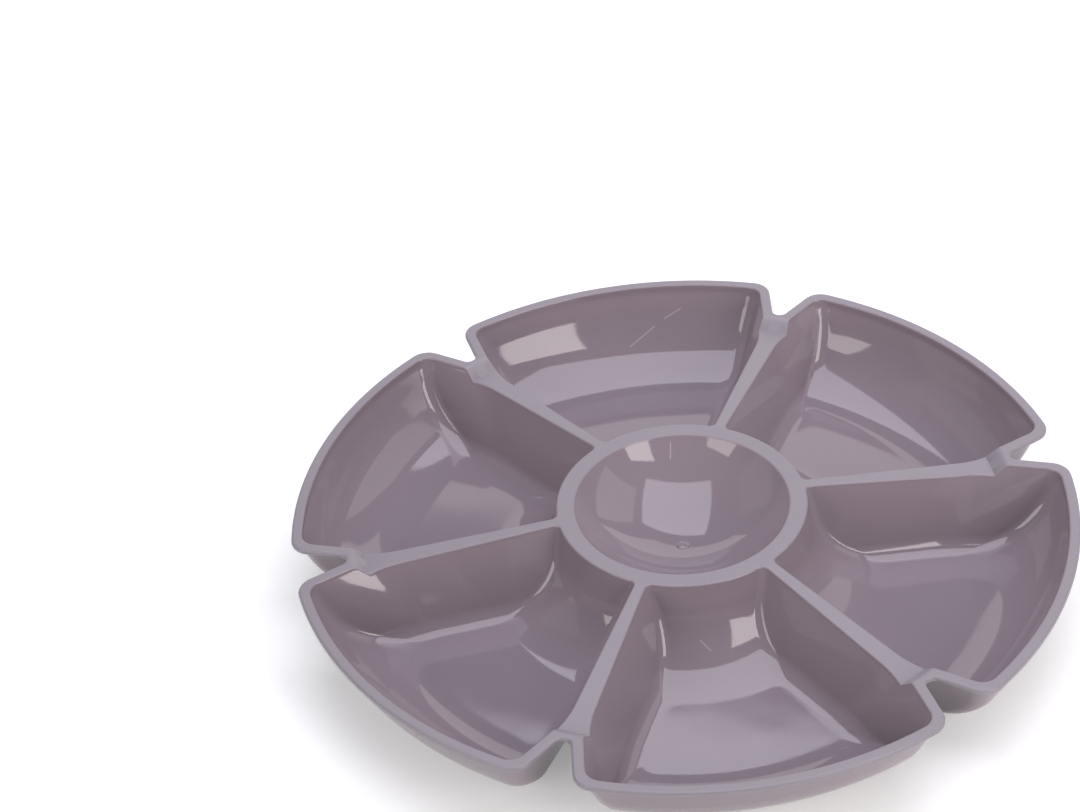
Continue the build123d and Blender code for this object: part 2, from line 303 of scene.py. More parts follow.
def wall_curve(kind, share, depth, wall, s):
    """Points and outward directions of a compartment's outline at given depths, with its petal along +X.

    The outline runs from the petal's middle at the ring to its middle at the rim in seven kinds of
    stretch: 0 ring arc, 1 inner corner, 2 divider, 3 bend, 4 flare, 5 outer corner, 6 rim arc.
    """
    half = math.pi / s.petals
    in_r, in_t, in_round, ring = inner_corner(depth, wall, s)
    side, slope = divider_line(depth, wall, s)
    tilt = np.arctan(slope)
    rim = outer_side(depth, wall, s)
    down = depth_share(depth, s)
    lean = s.notch_angle + (s.flare_floor_angle - s.notch_angle) * down
    top_width = s.divider_half + s.rim_drop * math.tan(s.divider_draft)
    vertex = s.outer_radius - s.notch_depth
    top_start = vertex - (s.rim_width - top_width * math.cos(s.notch_angle)) / math.sin(s.notch_angle)
    floor_depth = s.overall_height - s.floor
    floor_corner = inner_corner(floor_depth, 0, s)[0]
    bend_from = floor_corner + (outer_side(floor_depth, 0, s) - floor_corner) * s.flare_share
    floor_start = bend_from + s.flare_round * math.tan(s.flare_floor_angle / 2)
    start = top_start + (floor_start - top_start) * down + wall * np.tan(lean / 2)
    start_side = side + (start - s.bowl_edge_radius - s.ring_width) * slope
    bend = s.flare_round + wall
    bend_from = bend * np.tan((lean - tilt) / 2)
    bend_r = start - bend_from * np.cos(tilt) - bend * np.sin(tilt)
    bend_t = start_side - bend_from * np.sin(tilt) + bend * np.cos(tilt)
    out_round = s.outer_corner_top + (s.outer_corner_floor - s.outer_corner_top) * down + wall
    out_r, out_t = outer_corner(start, start_side, lean, out_round, rim)

    in_polar = np.arctan2(in_t, in_r)
    out_polar = np.arctan2(out_t, out_r)
    quarter = math.pi / 2
    zero = np.zeros_like(side)
    arcs = {
        0: (zero, zero, ring, half + zero, in_polar, -1),
        1: (in_r, in_t, in_round, in_polar - math.pi, tilt - quarter, 1),
        3: (bend_r, bend_t, bend + zero, tilt - quarter, lean - quarter, 1),
        5: (out_r, out_t, out_round, lean - quarter, out_polar, 1),
        6: (zero, zero, rim, out_polar, half + zero, 1),
    }
    divider_from = (in_r + in_round * np.sin(tilt), in_t - in_round * np.cos(tilt))
    divider_to = (bend_r + bend * np.sin(tilt), bend_t - bend * np.cos(tilt))
    flare_from = (bend_r + bend * np.sin(lean), bend_t - bend * np.cos(lean))
    flare_to = (out_r + out_round * np.sin(lean), out_t - out_round * np.cos(lean))
    lines = {
        2: (divider_from, divider_to, (np.sin(tilt), -np.cos(tilt))),
        4: (flare_from, flare_to, (np.sin(lean), -np.cos(lean))),
    }
    return traced(kind, share, arcs, lines, half)


def drop_scale(x, wall, s):
    """How much of the full depth a wall keeps at a distance along the petal, as the floor falls to the rim.

    The floor is lowest, on the table or its own thickness above it, where the outer wall's foot levels out.
    """
    floor_depth = s.overall_height - s.floor
    lowest = outer_side(floor_depth, wall, s) + (s.outer_foot + wall) * math.tan(s.floor_fall / 2)
    depth = s.overall_height if wall else floor_depth
    return (depth - math.tan(s.floor_fall) * (lowest - x)) / floor_depth


def rim_curve(kind, share, s):
    """Points and outward directions of the dish's outer edge, with the petal along +X.

    Kinds of stretch: 0 the notch's round tip, 1 its side, 2 the petal's corner, 3 the outer arc.
    """
    half = math.pi / s.petals
    lean = s.notch_angle
    vertex = s.outer_radius - s.notch_depth
    tip_centre = vertex + s.notch_tip / math.sin(lean)
    corner_r, corner_t = outer_corner(vertex, 0, lean, s.petal_corner, s.outer_radius)
    polar = math.atan2(corner_t, corner_r)
    quarter = math.pi / 2
    arcs = {
        0: (tip_centre, 0, s.notch_tip, math.pi, quarter + lean, -1),
        2: (corner_r, corner_t, s.petal_corner, lean - quarter, polar, 1),
        3: (0, 0, s.outer_radius, polar, half, 1),
    }
    side_from = (tip_centre - s.notch_tip * math.sin(lean), s.notch_tip * math.cos(lean))
    side_to = (corner_r + s.petal_corner * math.sin(lean), corner_t - s.petal_corner * math.cos(lean))
    lines = {1: (side_from, side_to, (math.sin(lean), -math.cos(lean)))}
    return traced(kind, share, arcs, lines, half)


def riser_places(s):
    """The radii of the riser's foot and top and of its crown's end, counted back from the notch's tip."""
    tip = s.outer_radius - s.notch_depth + s.notch_tip / math.sin(s.notch_angle) - s.notch_tip
    crown_end = tip - s.notch_land
    top = crown_end - s.crown_run
    return top - s.riser_run, top, crown_end, tip


def deck_height(radius, s):
    """Height of the deck's top at a radius: straight slopes joined by short parabolas.

    Each bend adds its change of slope times a ramp, which is zero before it, a parabola over
    its half width on both sides, and the distance from it after.
    """
    foot, top, crown_end, _ = riser_places(s)
    ring = s.bowl_edge_radius + s.ring_width
    foot_height = s.overall_height - s.divider_fall
    rim_height = s.overall_height - s.rim_drop
    slopes = [
        0,
        -s.divider_fall / (foot - ring),
        (rim_height - s.crown_drop - foot_height) / (top - foot),
        s.crown_drop / (crown_end - top),
        0,
    ]
    bends = ((ring, s.ring_bend), (foot, s.riser_bend), (top, s.riser_bend), (crown_end, s.riser_bend))
    height = np.full(np.shape(radius), s.overall_height)
    for (place, half_width), before, after in zip(bends, slopes, slopes[1:]):
        x = radius - place
        parabola = np.where(x > -half_width, (x + half_width) ** 2 / (4 * half_width), 0)
        height = height + (after - before) * np.where(x > half_width, x, parabola)
    return height


def edge_round(kind, share, wall, radius, drop, steps, s):
    """A quarter round between a compartment wall and the deck's top, or its underside a drop lower.

    At a turn t it stands radius * (1 - cos t) out from the wall and radius * (1 - sin t) under the
    deck. The wall's depth there is found by going half of the way that is left, until wall and deck agree.
    """
    depth = np.zeros(len(kind))
    for _ in range(DEPTH_TRIES):
        x, y, nx, ny = wall_curve(kind, share, depth, wall, s)
        top = deck_height(np.hypot(x + nx * radius, y + ny * radius), s) - drop
        depth = (depth + (s.overall_height - top + radius) / drop_scale(x, wall, s)) / 2
    turn = np.linspace(0, math.pi / 2, steps + 1)[:, None]
    out = radius * (1 - np.cos(turn))
    return np.stack([x + nx * out, y + ny * out, top - radius * (1 - np.sin(turn))], -1), depth


def stretched(counts):
    """The kind and the share of every sample: each stretch has its count, the last one with its end."""
    kind = np.repeat(np.arange(len(counts)), counts)
    share = np.concatenate([np.arange(n) / n for n in counts])
    share[-counts[-1] :] *= counts[-1] / (counts[-1] - 1)
    return kind, share


def wall_columns(s):
    """The samples along a compartment's outline. One on the flare faces the tip of the notch."""
    kind, share = stretched(WALL_COUNTS)
    fine = np.linspace(0, 1, SPLIT_SAMPLES)
    points, _ = edge_round(np.full(len(fine), FLARE), fine, 0, s.inner_round, 0, 1, s)
    tip = riser_places(s)[3]
    split = np.interp(tip - s.rim_round, np.hypot(points[-1, :, 0], points[-1, :, 1]), fine)
    before, after = FLARE_COUNTS
    share[kind == FLARE] = np.concatenate([
        np.arange(before) / before * split,
        split + np.arange(after) / after * (1 - split),
    ])
    return kind, share


def sphere_rows(radius, centre, first, last, steps):
    """Radius and height pairs down a sphere's lower half, between two radii, at even angles."""
    turn = np.linspace(math.asin(first / radius), math.asin(last / radius), steps + 1)
    return np.stack([radius * np.sin(turn), centre - radius * np.cos(turn)], -1)


def turned(profile, angles):
    """Carries a profile of radius and height pairs round the dish axis, one column for each angle."""
    radius, height = profile[:, 0, None], profile[:, 1, None]
    return np.stack([radius * np.cos(angles), -radius * np.sin(angles), height + 0 * angles], -1)


def half_petal(s):
    """The moulding's surfaces over half a petal, as grids: rows along a section, columns along the outline.

    A section runs from the middle of the compartment's floor up its wall, over the deck, round the
    rim's edge and back under it to the outer wall and the foot, so that all the grids wind alike.
    """
    kind, share = wall_columns(s)
    half = math.pi / s.petals
    inner_depth = s.overall_height - s.floor
    bowl_radius = (s.bowl_edge_radius**2 + s.bowl_depth**2) / (2 * s.bowl_depth)
    bowl_centre = s.overall_height - s.bowl_depth + bowl_radius

    def walled(wall, start_depth, rows):
        # Depths follow the sine of an even turn, so the rows lie evenly round the foot
        way = np.sin(np.linspace(0, math.pi / 2, rows + 1))[:, None]
        depth = start_depth + (inner_depth - start_depth) * way
        x, y, _, _ = wall_curve(kind, share, depth, wall, s)
        return np.stack([x, y, s.overall_height - depth * drop_scale(x, wall, s)], -1)

    def floored(edge, wall, rows):
        # Rows shrink evenly to one point in the middle of the floor, at the floor's own height
        middle = (edge[0] + edge[-1]) / 2
        way = np.linspace(0, 1, rows + 1)[:, None, None]
        grid = middle + (edge - middle) * way
        grid[:-1, :, 2] = s.overall_height - inner_depth * drop_scale(grid[:-1, :, 0], wall, s)
        return grid

    round_rows, top_depth = edge_round(kind, share, 0, s.inner_round, 0, ROUND_ROWS, s)
    inner_wall = walled(0, top_depth, INNER_WALL_ROWS)[::-1]
    inner_wall[-1] = round_rows[0]
    floor = floored(inner_wall[0], 0, FLOOR_ROWS)

    # The deck's far side: the bowl's edge, then the notch axis up to the tip, then the rim's edge
    lip_depth = bowl_centre - s.overall_height + s.bowl_lip
    lip_radius = math.sqrt((bowl_radius + s.bowl_lip) ** 2 - lip_depth**2)
    deck_edge = round_rows[-1]
    edge_radius = np.hypot(deck_edge[:, 0], deck_edge[:, 1])
    ring_angle = -math.atan2(deck_edge[ARC_END, 1], deck_edge[ARC_END, 0])
    corner = BOWL_END - ARC_END
    angles = np.concatenate([
        ring_angle * np.arange(ARC_END) / ARC_END,
        ring_angle + (half - ring_angle) * np.arange(corner + 1) / corner,
    ])
    to_ring = np.arange(1, corner + 1) / corner
    axis_radius = np.concatenate([
        lip_radius + (edge_radius[RING_END] - lip_radius) * to_ring,
        edge_radius[RING_END + 1 : TIP],
        [riser_places(s)[3] - s.rim_round],
    ])
    edge_x, edge_y, out_x, out_y = rim_curve(*stretched(EDGE_COUNTS), s)

    def far_side(bowl_side, axis, set_back):
        rim_x, rim_y = (edge_x - out_x * set_back)[1:], (edge_y - out_y * set_back)[1:]
        x = np.concatenate([bowl_side * np.cos(angles), axis * math.cos(half), rim_x])
        y = np.concatenate([-bowl_side * np.sin(angles), -axis * math.sin(half), rim_y])
        return x, y

    def decked(near, far, drop):
        x, y = far
        way = np.linspace(0, 1, DECK_ROWS + 1)[:, None]
        grid_x = near[:, 0] + (x - near[:, 0]) * way
        grid_y = near[:, 1] + (y - near[:, 1]) * way
        return np.stack([grid_x, grid_y, deck_height(np.hypot(grid_x, grid_y), s) - drop], -1)

    deck = decked(deck_edge, far_side(lip_radius, axis_radius, s.rim_round), 0)

    # The underside, with a small round at the outer walls where there is room for one
    outer_bowl = bowl_radius + s.bowl_wall
    under_radius = math.sqrt(outer_bowl**2 - (bowl_centre - s.overall_height + s.deck) ** 2)
    under_axis = axis_radius.copy()
    under_axis[:corner] = under_radius + (edge_radius[RING_END] - under_radius) * to_ring
    under_axis[-1] = riser_places(s)[3] - s.rim_under_round
    under_far = far_side(under_radius, under_axis, s.rim_under_round)
    x, y, _, _ = wall_curve(kind, share, np.full(len(kind), s.rim_drop + s.deck), s.wall, s)
    room = np.hypot(under_far[0] - x, under_far[1] - y)
    under_radii = np.minimum(s.under_round, room * UNDER_ROUND_SHARE)
    under_rows, under_depth = edge_round(kind, share, s.wall, under_radii, s.deck, UNDER_ROUND_ROWS, s)
    under = decked(under_rows[-1], under_far, s.deck)[::-1]
    outer_wall = walled(s.wall, under_depth, OUTER_WALL_ROWS)
    outer_wall[0] = under_rows[0]
    foot = floored(outer_wall[-1], s.wall, FOOT_ROWS)[::-1]

    # The rim's edge: upper round, side and lower round
    turn = np.linspace(0, math.pi / 2, ROUND_ROWS + 1)[:, None]
    top = deck[-1, TIP:, 2]
    upper = (s.rim_round * (1 - np.sin(turn)), top - s.rim_round * (1 - np.cos(turn)))
    lower = (s.rim_under_round * (1 - np.cos(turn)), top - s.deck + s.rim_under_round * (1 - np.sin(turn)))
    back = np.concatenate([upper[0], lower[0]])
    height = np.concatenate([upper[1], lower[1]])
    edge = np.stack([edge_x - out_x * back, edge_y - out_y * back, height], -1)

    # The bowl: lip, sphere and gate mark inside, and the plain sphere outside
    lean = math.asin(lip_radius / (bowl_radius + s.bowl_lip))
    lip_turn = np.linspace(0, lean, LIP_ROWS + 1)
    lip = np.stack([
        lip_radius - s.bowl_lip * np.sin(lip_turn),
        s.overall_height - s.bowl_lip + s.bowl_lip * np.cos(lip_turn),
    ], -1)
    mark = s.gate_radius
    sphere = sphere_rows(bowl_radius, bowl_centre, lip[-1, 0], mark * GATE_MARGIN, BOWL_ROWS)
    low = s.overall_height - s.bowl_depth
    high = low + s.gate_height
    tick = s.gate_height / 4
    dimple = s.gate_dimple
    mark_rows = np.array([
        (mark + tick, low + tick / 2),
        (mark, low + tick),
        (mark - tick / 2, high - tick),
        (mark - tick * 2, high),
        (dimple + tick, high),
        (dimple, high - tick),
        (dimple - tick, high - tick * 2.5),
        (dimple - tick * 3, high - tick * 3),
        (0, high - tick * 3),
    ])
    outside = sphere_rows(outer_bowl, bowl_centre, 0, under_radius, BOWL_UNDER_ROWS)
    return {
        "floor": floor,
        "inner_wall": inner_wall,
        "round": round_rows,
        "deck": deck,
        "edge": edge,
        "under": under,
        "under_round": under_rows[::-1],
        "outer_wall": outer_wall,
        "foot": foot,
        "bowl_inside": turned(np.concatenate([lip, sphere[1:], mark_rows]), angles),
        "bowl_outside": turned(outside, angles),
    }


def weld(points):
    """Numbers the distinct points: returns the distinct points and each point's number."""
    flat = points.reshape(-1, 3)
    keys = np.round(flat / WELD).astype(np.int64)
    _, first, number = np.unique(keys, axis=0, return_index=True, return_inverse=True)
    return flat[first], number.reshape(-1)


def quads(grid):
    """The quads of a grid as corner arrays, wound from row to row."""
    corners = [grid[:-1, :-1], grid[1:, :-1], grid[1:, 1:], grid[:-1, 1:]]
    return np.stack(corners, 2).reshape(-1, len(corners), grid.shape[-1])


def half_pieces(s):
    """The faces of each piece over half a petal, closed where the pieces meet."""
    g = half_petal(s)
    deck_edge_radius = np.hypot(g["deck"][0, :, 0], g["deck"][0, :, 1])
    foot = RING_END + int(np.searchsorted(deck_edge_radius[RING_END:TIP], riser_places(s)[0] - s.riser_lead))

    def end_cap(column, first):
        # The section at a column, from the deck's near edge over to the underside's near edge
        upper = g["deck"][:, column]
        lower = g["under"][::-1, column]
        return quads(np.stack([lower, upper] if first else [upper, lower], 1))

    def strip(first, last):
        # Deck, underside and the joint to the compartments between two columns
        joint = np.stack([g["under"][-1, first : last + 1], g["deck"][0, first : last + 1]])
        return [quads(g["deck"][:, first : last + 1]), quads(g["under"][:, first : last + 1]), quads(joint)]

    walls = [g[name] for name in ("floor", "inner_wall", "round", "under_round", "outer_wall", "foot")]
    deck_joint = np.stack([g["round"][-1], g["under_round"][0]])
    # The ring and the bowl meet between the lip and the underside
    ring_side = np.stack([g["deck"][-1, : BOWL_END + 1], g["under"][0, : BOWL_END + 1]])
    bowl_side = np.stack([g["bowl_outside"][-1], g["bowl_inside"][0]])
    # Neighbouring rims meet on the notch axis, from the riser's foot to the notch's tip
    notch_side = np.stack([g["deck"][-1, foot : TIP + 1], g["under"][0, foot : TIP + 1]])
    tip_cap = g["edge"][None, ::-1, 0]
    return {
        "compartment": [quads(grid) for grid in (*walls, deck_joint)],
        "centre_ring": strip(0, RING_END) + [end_cap(RING_END, False), quads(ring_side)],
        "divider": strip(RING_END, foot) + [end_cap(RING_END, True), end_cap(foot, False)],
        "rim": strip(foot, len(deck_edge_radius) - 1) + [
            end_cap(foot, True),
            quads(g["edge"]),
            quads(notch_side),
            tip_cap,
        ],
        "centre_bowl": [quads(g["bowl_inside"]), quads(g["bowl_outside"]), quads(bowl_side)],
    }


def placed(faces, turn, mirrored):
    """Faces turned about the dish axis, and mirrored over the petal's middle first where asked."""
    faces = faces.copy()
    if mirrored:
        faces[..., 1] *= -1
        faces = faces[:, ::-1]
    cos, sin = math.cos(turn), math.sin(turn)
    faces[..., 0:2] = faces[..., 0:2] @ np.array([[cos, sin], [-sin, cos]])
    return faces


def gather(parts, turns):
    """The faces of one piece: every part placed at each turn, plain or mirrored."""
    return [placed(part, turn, mirrored) for turn, mirrored in turns for part in parts]


def build(name, face_arrays, nodes, material):
    """Makes one welded, closed mesh of a piece's faces, smooth but for sharp edges, hangs it under the root
    body and hides the CAD parts it stands for.

    Corners that fall together, as at the middle of a floor, are dropped, so those quads become triangles.
    """
    loops, sizes = [], []
    points, number = weld(np.concatenate([faces.reshape(-1, 3) for faces in face_arrays]))
    start = 0
    for faces in face_arrays:
        count, corners = faces.shape[:2]
        ids = number[start : start + count * corners].reshape(count, corners)
        start += count * corners
        keep = ids != np.roll(ids, -1, axis=1)
        total = keep.sum(1)
        keep[total < 3] = False
        loops.append(ids[keep])
        sizes.append(total[total > 2])
    used, loops = np.unique(np.concatenate(loops), return_inverse=True)
    sizes = np.concatenate(sizes)
    mesh = bpy.data.meshes.new(name)
    mesh.vertices.add(len(used))
    mesh.vertices.foreach_set("co", points[used].astype(np.float32).ravel())
    mesh.loops.add(len(loops))
    mesh.loops.foreach_set("vertex_index", loops.astype(np.int32))
    mesh.polygons.add(len(sizes))
    mesh.polygons.foreach_set("loop_start", (np.cumsum(sizes) - sizes).astype(np.int32))
    mesh.update(calc_edges=True)
    mesh.polygons.foreach_set("use_smooth", np.ones(len(sizes), bool))
    mesh.set_sharp_from_angle(angle=SHARP)
    mesh.materials.append(material)
    piece = bpy.data.objects.new(name, mesh)
    bpy.context.scene.collection.objects.link(piece)
    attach(piece, "root")
    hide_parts(*nodes)


def petal_turn(index, s):
    """The turn that brings a petal from +X to its place."""
    return s.first_petal + index * 2 * math.pi / s.petals


def all_round(s):
    """The turns that carry half a petal all round the dish, plain and mirrored."""
    return [(petal_turn(i, s), mirrored) for i in range(s.petals) for mirrored in (False, True)]


# ---- the plastic


def feed(tree, socket, value):
    """Gives a socket a value, or links another node's output to it."""
    if isinstance(value, bpy.types.NodeSocket):
        tree.links.new(value, socket)
    else:
        socket.default_value = value


def node(tree, kind, *sources, **values):
    """Adds a shader node, sets its attributes and named sockets, and feeds the sources to its sockets."""
    made = tree.nodes.new(kind)
    for key, value in values.items():
        if hasattr(made, key) and key not in made.inputs:
            setattr(made, key, value)
        else:
            feed(tree, made.inputs[key.replace("_", " ")], value)
    for socket, value in zip([i for i in made.inputs if i.enabled], sources):
        feed(tree, socket, value)
    return made


def maths(tree, operation, *sources, **values):
    """Adds a maths node and returns its result."""
    return node(tree, "ShaderNodeMath", *sources, operation=operation, **values).outputs[0]


def vector_maths(tree, operation, *sources):
    """Adds a vector maths node and returns its result."""
    made = node(tree, "ShaderNodeVectorMath", *sources, operation=operation)
    return made.outputs["Value" if operation in ("DOT_PRODUCT", "LENGTH") else "Vector"]


def ramp(tree, value, start, end, low=0.0, high=1.0):
    """A value that goes from low at the start to high at the end, and stays level outside."""
    return node(tree, "ShaderNodeMapRange", value, start, end, low, high).outputs["Result"]


def rounded_edge(tree, place, height, roughness):
    """How dull an edge's round is: up to the roughness above a height, where the surface turns upwards."""
    level = node(tree, "ShaderNodeSeparateXYZ", place).outputs["Z"]
    facing = node(tree, "ShaderNodeNewGeometry").outputs["Normal"]
    upward = node(tree, "ShaderNodeSeparateXYZ", facing).outputs["Z"]
    lift = ramp(tree, level, height, height + EDGE_FADE)
    return maths(tree, "MULTIPLY", lift, ramp(tree, upward, *EDGE_UPWARD, high=roughness))


def scratch(tree, place, start, end, facing):
    """How much of a light scratch a point shows: full on the line between two points, fading beside it.

    The share along the line is the dot product with the span over its length squared, kept within 0 and 1.
    The distance from there is taken square to the direction that the surface faces.
    """
    span = Vector(end) - Vector(start)
    away = vector_maths(tree, "SUBTRACT", place, start)
    dot = vector_maths(tree, "DOT_PRODUCT", away, tuple(span))
    share = maths(tree, "MULTIPLY", dot, 1 / span.length_squared, use_clamp=True)
    parts = [maths(tree, "MULTIPLY", share, part) for part in span]
    along = node(tree, "ShaderNodeCombineXYZ", *parts).outputs[0]
    gap = vector_maths(tree, "SUBTRACT", away, along)
    across = vector_maths(tree, "LENGTH", vector_maths(tree, "CROSS_PRODUCT", gap, facing))
    level = maths(tree, "ABSOLUTE", vector_maths(tree, "DOT_PRODUCT", gap, facing))
    near = ramp(tree, across, *SCRATCH_FADE, low=1.0, high=0.0)
    return maths(tree, "MULTIPLY", near, maths(tree, "LESS_THAN", level, SCRATCH_REACH))


# Each scratch: its two ends and the direction that the surface faces there
WALL_SCRATCHES = [
    ((0.0054, 0.1352, 0.0113), (0.0169, 0.1390, 0.0172), (-0.06, -0.76, 0.65)),
    ((0.0216, 0.1400, 0.0199), (0.0288, 0.1404, 0.0236), (-0.16, -0.89, 0.43)),
    ((-0.0050, -0.0549, 0.0150), (-0.0019, -0.0579, 0.0120), (-0.04, -0.73, 0.68)),
]
BOWL_SCRATCHES = [
    ((0.0038, 0.0394, 0.0336), (0.0028, 0.0354, 0.0289), (-0.07, -0.75, 0.65)),
]
# A scratch fades between these distances from its line, and ends this far off its surface
SCRATCH_FADE = (0.0001, 0.00035)
SCRATCH_REACH = 0.003
# Heights from which an edge's round dulls, over what height and upward turn, and its roughness then
WALL_EDGE_HEIGHT = 0.0245
BOWL_EDGE_HEIGHT = 0.0348
EDGE_FADE = 0.001
EDGE_UPWARD = (0.4, 0.7)
EDGE_ROUGHNESS = 0.4
PLASTIC_IOR = 1.59
# How far the clouding takes the colour either way, and how much paler a scratch is
CLOUDING = 0.035
SCRATCH_PALENESS = 1.6


def tinted(shade, factor):
    """A colour made lighter or darker."""
    return (*[min(part * factor, 1) for part in shade], 1)


def moulded_plastic(name, shade, roughness, speckle, edge_height=None, scratches=()):
    """Glossy coloured plastic: faint clouding, uneven gloss, slow ripples and fine grain from the mould.

    Above the edge height, the edge's round has the deck's dull grain. Scratches are paler.
    """
    existing = bpy.data.materials.get(name)
    if existing:
        return existing
    material = bpy.data.materials.new(name)
    material.use_nodes = True
    tree = material.node_tree
    tree.nodes.clear()
    place = node(tree, "ShaderNodeTexCoord").outputs["Object"]

    def noise(**values):
        return node(tree, "ShaderNodeTexNoise", Vector=place, **values).outputs["Fac"]

    def mixed(share, first, second):
        return node(tree, "ShaderNodeMix", share, first, second, data_type="RGBA").outputs[2]

    clouds = noise(Scale=14.0, Detail=4.0, Roughness=0.6)
    base = mixed(clouds, tinted(shade, 1 - CLOUDING), tinted(shade, 1 + CLOUDING))
    marks = [scratch(tree, place, *ends) for ends in scratches]
    if marks:
        worn = functools.reduce(lambda one, other: maths(tree, "MAXIMUM", one, other), marks)
        base = mixed(worn, base, tinted(shade, SCRATCH_PALENESS))
    specks = noise(Scale=55.0, Detail=5.0, Roughness=0.65)
    gloss = ramp(tree, specks, 0.3, 0.7, roughness - speckle, roughness + speckle)
    if edge_height:
        gloss = maths(tree, "MAXIMUM", gloss, rounded_edge(tree, place, edge_height, EDGE_ROUGHNESS))
    ripple = noise(Scale=30.0, Detail=1.0)
    grain = noise(Scale=1500.0, Detail=2.0)
    slow = node(tree, "ShaderNodeBump", Strength=0.12, Distance=0.001, Height=ripple).outputs[0]
    fine = node(tree, "ShaderNodeBump", Strength=0.03, Distance=0.0001, Height=grain, Normal=slow).outputs[0]
    shader = node(tree, "ShaderNodeBsdfPrincipled", base, IOR=PLASTIC_IOR, Roughness=gloss, Normal=fine)
    node(tree, "ShaderNodeOutputMaterial", Surface=shader.outputs["BSDF"])
    return material


def polished(finish):
    """The walls' plastic."""
    look = (finish.wall_colour, finish.wall_roughness, 0.02, WALL_EDGE_HEIGHT, WALL_SCRATCHES)
    return moulded_plastic("Polished wall plastic", *look)


def polished_bowl(finish):
    """The bowl's plastic."""
    look = (finish.wall_colour, finish.wall_roughness, 0.02, BOWL_EDGE_HEIGHT, BOWL_SCRATCHES)
    return moulded_plastic("Polished bowl plastic", *look)


def satin(finish):
    """The deck's plastic: its own colour painted lighter and cooler as if lit from above, with a satin gloss.
    """
    return moulded_plastic("Satin deck plastic painted lighter", finish.lit_deck_colour, finish.deck_roughness, 0.05)


# ---- operators, one for each group of like pieces


class DISH_OT_compartments(bpy.types.Operator):
    """Build the compartments, each a thin tub with rounded edges"""

    bl_idname = "dish.compartments"
    bl_label = "Compartments"

    def execute(self, context):
        s = context.scene.dish_sizes
        parts = half_pieces(s)["compartment"]
        for i in range(s.petals):
            turn = petal_turn(i, s)
            faces = gather(parts, [(turn, False), (turn, True)])
            name = "compartment_%d" % (i + 1)
            build("dish_" + name, faces, [name], polished(context.scene.dish_finish))
        return {"FINISHED"}


class DISH_OT_rim(bpy.types.Operator):
    """Build the rim, one piece round each petal"""

    bl_idname = "dish.rim"
    bl_label = "Rim"

    def execute(self, context):
        s = context.scene.dish_sizes
        parts = half_pieces(s)["rim"]
        for i in range(s.petals):
            turn = petal_turn(i, s)
            faces = gather(parts, [(turn, False), (turn, True)])
            name = "rim_%d" % (i + 1)
            build("dish_" + name, faces, [name], satin(context.scene.dish_finish))
        return {"FINISHED"}


class DISH_OT_dividers(bpy.types.Operator):
    """Build the dividers between the compartments"""

    bl_idname = "dish.dividers"
    bl_label = "Dividers"

    def execute(self, context):
        s = context.scene.dish_sizes
        parts = half_pieces(s)["divider"]
        for i in range(s.petals):
            faces = gather(parts, [(petal_turn(i, s), True), (petal_turn(i + 1, s), False)])
            name = "divider_%d" % (i + 1)
            build("dish_" + name, faces, [name], satin(context.scene.dish_finish))
        return {"FINISHED"}


class DISH_OT_ring(bpy.types.Operator):
    """Build the ring round the bowl"""

    bl_idname = "dish.ring"
    bl_label = "Centre ring"

    def execute(self, context):
        s = context.scene.dish_sizes
        faces = gather(half_pieces(s)["centre_ring"], all_round(s))
        build("dish_centre_ring", faces, ["centre_ring"], satin(context.scene.dish_finish))
        return {"FINISHED"}


class DISH_OT_bowl(bpy.types.Operator):
    """Build the centre bowl with its gate mark"""

    bl_idname = "dish.bowl"
    bl_label = "Centre bowl"

    def execute(self, context):
        s = context.scene.dish_sizes
        faces = gather(half_pieces(s)["centre_bowl"], all_round(s))
        build("dish_centre_bowl", faces, ["centre_bowl"], polished_bowl(context.scene.dish_finish))
        return {"FINISHED"}


# The soft boxes: name, centre, directions across and up, width and height, tint
OVERHEAD_BOX = (
    "overhead_box", (0.212, 0.233, 1.158), (0.937, -0.295, 0.186), (0.27, 0.952, 0.146), (1.16, 1.18),
    (0.98, 0.97, 1.08),
)
RIGHT_BOX = (
    "right_box", (0.701, -0.943, 0.557), (0.987, -0.156, 0.022), (0.004, 0.165, 0.986), (0.69, 0.97),
    (1.05, 0.99, 0.96),
)
LEFT_BOX = (
    "left_box", (-0.962, -0.663, 0.57), (0.591, -0.807, -0.007), (-0.221, -0.171, 0.96), (0.65, 0.96),
    (1.05, 0.99, 0.96),
)
# The glowing panels: name, corners, tint
BACKDROP = (
    "backdrop", [(-0.4, 1.05, 0), (-0.4, 1.05, 0.6), (0.7, 1.05, 1.13), (1.28, 1.05, 0.66), (1.5, 1.05, 0)],
    (1.0, 0.98, 0.98),
)
RIGHT_PANEL = (
    "right_panel", [(1.0, -0.28, 0.44), (1.0, -0.3, 1.44), (1.0, 0.61, 1.14), (1.0, 0.63, 0.31)],
    (1.0, 0.99, 0.98),
)
LEFT_SCREEN = (
    "left_screen", [(-0.9, 1.0, 0.3), (-1.2, 0.08, 0.26), (-1.2, 0.08, 1.1), (-0.9, 1.0, 1.1)],
    (1.0, 1.0, 1.0),
)
ROOM_COLOUR = (0.78, 1, 1.1, 1)
PAPER_COLOUR = (0.92, 0.92, 0.91, 1)
PAPER_ROUGHNESS = 0.9
PAPER_REACH = 3.0
PAPER_CLEARANCE = 0.0002
SENSOR_WIDTH = 36
NEAREST_SEEN = 0.01


def soft_box(name, centre, across, upward, size, tint, radiance):
    """A rectangular studio light with its sides along two directions; it shines against their cross product.

    Its power is radiance times pi times its area, so its size doesn't change how bright its reflection is.
    """
    lamp = bpy.data.lights.new(name, "AREA")
    lamp.shape = "RECTANGLE"
    lamp.size, lamp.size_y = size
    lamp.color = tint
    lamp.energy = radiance * math.pi * size[0] * size[1]
    holder = bpy.data.objects.new(name, lamp)
    holder.visible_camera = False
    bpy.context.scene.collection.objects.link(holder)
    x = Vector(across).normalized()
    z = x.cross(Vector(upward)).normalized()
    holder.matrix_world = Matrix.Translation(centre) @ Matrix((x, z.cross(x), z)).transposed().to_4x4()


